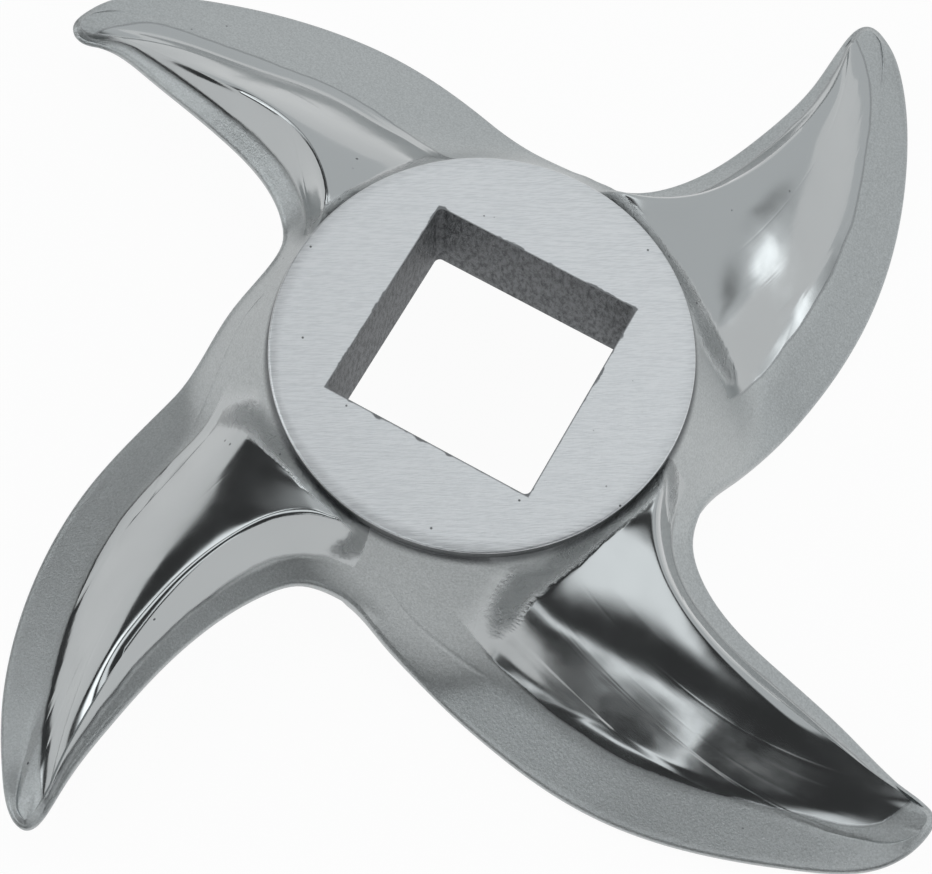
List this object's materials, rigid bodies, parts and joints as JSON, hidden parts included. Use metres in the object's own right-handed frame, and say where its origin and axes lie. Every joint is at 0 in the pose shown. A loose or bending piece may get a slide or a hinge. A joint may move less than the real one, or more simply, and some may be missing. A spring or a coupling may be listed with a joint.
{
  "type": "meat grinder knife",
  "caption": "Cast stainless meat grinder knife with a ring of sickle-shaped arms round a square-bored hub; it turns against the grinder plate.",
  "frame": {"origin": "on the axis of the drive square, in the plane of the grinder plate that the cutting edges run on", "axes": "+Z along the axis, from the grinder plate towards the hub's ground face"},
  "size_m": [0.0946, 0.0946, 0.0139],
  "materials": {
    "steel": "cast stainless steel, satin-ground flanks and hub face, mirror-polished crowns"
  },
  "bodies": {
    "root": {"knife": "steel"}
  },
  "joints": []
}
